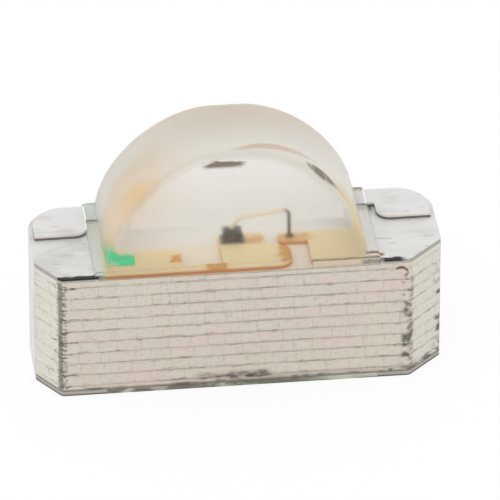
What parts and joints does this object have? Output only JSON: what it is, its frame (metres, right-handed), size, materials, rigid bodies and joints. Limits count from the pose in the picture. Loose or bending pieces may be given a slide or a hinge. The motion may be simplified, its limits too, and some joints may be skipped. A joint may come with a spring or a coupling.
{
  "type": "side-view smd led",
  "caption": "Side-view chip LED: laminate block with plated ends and a clear D-shaped epoxy lens on its top.",
  "frame": {"origin": "middle of the underside of the board", "axes": "+X along the board towards the anode end, -Y is the front long side, +Y the rear long side that is soldered down in use, +Z towards the lens"},
  "size_m": [0.003, 0.001, 0.0019],
  "materials": {
    "laminate": "sawn glass-fibre laminate, plies visible",
    "silver_plating": "satin silver plating on copper, gold where the epoxy covers it",
    "green_resist": "satin",
    "conductive_glue": "satin",
    "die": "satin",
    "gold": "bright",
    "green_ink": "satin",
    "clear_epoxy": "clear, slightly milky epoxy"
  },
  "bodies": {
    "root": {"laminate_board": "laminate", "cathode_terminal": "silver_plating", "anode_terminal": "silver_plating", "underside_resist": "green_resist", "die_attach": "conductive_glue", "led_die": "die", "die_electrode": "gold", "bond_wire": "gold", "cathode_mark": "green_ink", "lens": "clear_epoxy"}
  },
  "joints": []
}
